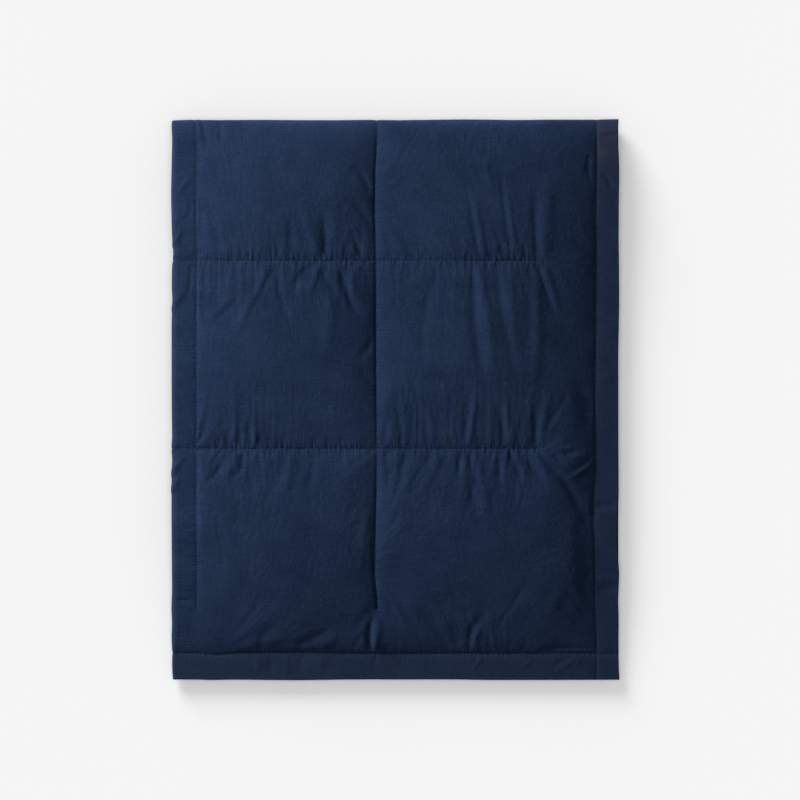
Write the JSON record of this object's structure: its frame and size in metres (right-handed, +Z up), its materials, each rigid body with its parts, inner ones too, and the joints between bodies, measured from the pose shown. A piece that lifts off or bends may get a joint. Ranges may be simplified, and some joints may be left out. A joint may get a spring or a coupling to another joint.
{
  "type": "down alternative throw",
  "caption": "Quilted, filled cotton throw with a flat hem, folded in quarters and lying flat with its hems on the near and right sides.",
  "frame": {"origin": "middle of the bounding box's bottom face, on the surface that the folded throw rests on", "axes": "+Z up, +Y along the stack's length towards its folded end, +X across towards its hemmed side"},
  "size_m": [0.6662, 0.8327, 0.0727],
  "materials": {
    "navy_cotton": "matte plain weave cotton"
  },
  "bodies": {
    "root": {"quilted_throw": "navy_cotton"}
  },
  "joints": []
}
